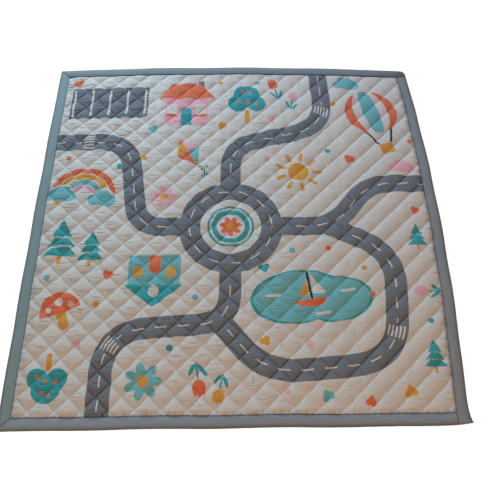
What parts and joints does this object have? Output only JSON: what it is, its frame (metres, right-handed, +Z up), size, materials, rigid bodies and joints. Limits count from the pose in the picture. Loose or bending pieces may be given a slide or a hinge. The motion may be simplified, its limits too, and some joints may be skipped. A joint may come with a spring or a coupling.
{
  "type": "play blanket",
  "caption": "Square quilted cotton play blanket, lying flat, with diamond quilting, a printed toy road scene and a plain cotton binding folded over its edges.",
  "frame": {"origin": "on the flat underside, below the middle of the blanket", "axes": "+Z up through the blanket's thickness, +Y towards its far edge, +X towards its right edge"},
  "size_m": [1.5442, 1.5228, 0.0135],
  "materials": {
    "face_cotton": "matt printed cotton, quilted",
    "binding_cotton": "matt grey blue cotton"
  },
  "bodies": {
    "root": {"quilted_panel": "face_cotton", "binding_near": "binding_cotton", "binding_right": "binding_cotton", "binding_far": "binding_cotton", "binding_left": "binding_cotton"}
  },
  "joints": []
}
